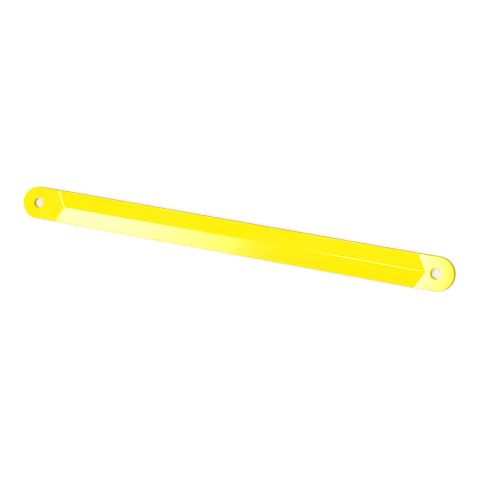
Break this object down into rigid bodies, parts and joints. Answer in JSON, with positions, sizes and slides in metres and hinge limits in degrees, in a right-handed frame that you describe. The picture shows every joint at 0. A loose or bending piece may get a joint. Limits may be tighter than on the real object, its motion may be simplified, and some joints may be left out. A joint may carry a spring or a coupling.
{
  "type": "link bar",
  "caption": "Yellow plastic link bar: a straight strip with a shallow V along its middle and a flat round-ended tab with a bolt hole at each end.",
  "frame": {"origin": "middle of the bar's footprint, on the ground that it lies on", "axes": "+X runs along the bar from the tab that turns up out of the V to the tab that turns down out of it; +Z points out of the open side of the V; +Y is across the bar, which is the same on both sides of the XZ plane"},
  "size_m": [0.4322, 0.03, 0.0143],
  "materials": {
    "yellow_plastic": "moulded gloss"
  },
  "bodies": {
    "root": {"link_bar": "yellow_plastic"}
  },
  "joints": []
}
